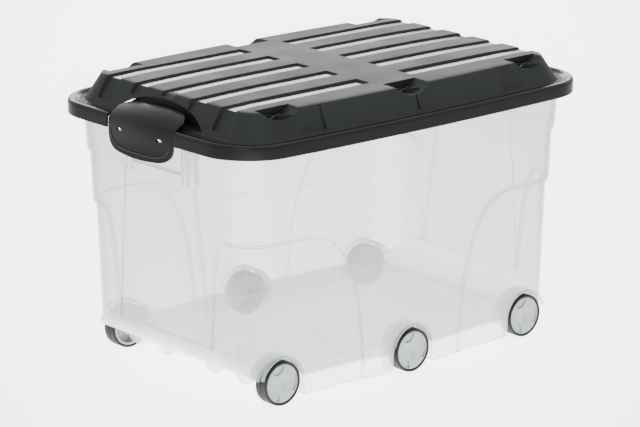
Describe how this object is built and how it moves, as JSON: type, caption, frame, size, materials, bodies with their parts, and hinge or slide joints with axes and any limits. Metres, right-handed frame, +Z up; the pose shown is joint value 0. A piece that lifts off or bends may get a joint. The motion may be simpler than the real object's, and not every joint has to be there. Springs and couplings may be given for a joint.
{
  "type": "under bed box",
  "caption": "Translucent rectangular storage tub on wheels, closed by a dark ribbed lid with a hinged clip at each end.",
  "frame": {"origin": "on the floor, under the middle of the box", "axes": "+X along the length towards the right-hand end, +Y across the width towards the rear long side, +Z up"},
  "size_m": [0.6108, 0.4028, 0.375],
  "materials": {
    "tub_clear": "frosted clear polypropylene",
    "lid_grey": "satin anthracite polypropylene",
    "clip_grey": "smooth anthracite polypropylene",
    "tyre_black": "matt black soft plastic",
    "hub_grey": "light grey translucent plastic",
    "pin_grey": "grey plastic"
  },
  "bodies": {
    "tub": {"tub": "tub_clear", "axle_front_left": "pin_grey", "axle_front_middle": "pin_grey", "axle_front_right": "pin_grey", "axle_rear_left": "pin_grey", "axle_rear_middle": "pin_grey", "axle_rear_right": "pin_grey"},
    "lid": {"lid": "lid_grey", "clip_pin_left": "clip_grey", "clip_pin_right": "clip_grey"},
    "clip_left": {"clip_left": "clip_grey"},
    "clip_right": {"clip_right": "clip_grey"},
    "wheel_front_left": {"tyre_front_left": "tyre_black", "hub_front_left": "hub_grey"},
    "wheel_front_middle": {"tyre_front_middle": "tyre_black", "hub_front_middle": "hub_grey"},
    "wheel_front_right": {"tyre_front_right": "tyre_black", "hub_front_right": "hub_grey"},
    "wheel_rear_left": {"tyre_rear_left": "tyre_black", "hub_rear_left": "hub_grey"},
    "wheel_rear_middle": {"tyre_rear_middle": "tyre_black", "hub_rear_middle": "hub_grey"},
    "wheel_rear_right": {"tyre_rear_right": "tyre_black", "hub_rear_right": "hub_grey"}
  },
  "joints": [
    {"name": "lid_lift", "type": "slide", "parent": "tub", "child": "lid", "axis": [0, 0, 1], "range_m": [0, 0.2]},
    {"name": "clip_left_hinge", "type": "hinge", "parent": "lid", "child": "clip_left", "pos_m": [-0.2615, 0, 0.35], "axis": [0, 1, 0], "range_deg": [0, 52]},
    {"name": "clip_right_hinge", "type": "hinge", "parent": "lid", "child": "clip_right", "pos_m": [0.2615, 0, 0.35], "axis": [0, -1, 0], "range_deg": [0, 52]},
    {"name": "wheel_front_left_spin", "type": "hinge", "parent": "tub", "child": "wheel_front_left", "pos_m": [-0.2086, -0.1623, 0.02825], "axis": [0, 1, 0], "continuous": true},
    {"name": "wheel_front_middle_spin", "type": "hinge", "parent": "tub", "child": "wheel_front_middle", "pos_m": [0, -0.1716, 0.02825], "axis": [0, 1, 0], "continuous": true},
    {"name": "wheel_front_right_spin", "type": "hinge", "parent": "tub", "child": "wheel_front_right", "pos_m": [0.2086, -0.1623, 0.02825], "axis": [0, 1, 0], "continuous": true},
    {"name": "wheel_rear_left_spin", "type": "hinge", "parent": "tub", "child": "wheel_rear_left", "pos_m": [-0.2086, 0.1623, 0.02825], "axis": [0, 1, 0], "continuous": true},
    {"name": "wheel_rear_middle_spin", "type": "hinge", "parent": "tub", "child": "wheel_rear_middle", "pos_m": [0, 0.1716, 0.02825], "axis": [0, 1, 0], "continuous": true},
    {"name": "wheel_rear_right_spin", "type": "hinge", "parent": "tub", "child": "wheel_rear_right", "pos_m": [0.2086, 0.1623, 0.02825], "axis": [0, 1, 0], "continuous": true}
  ]
}
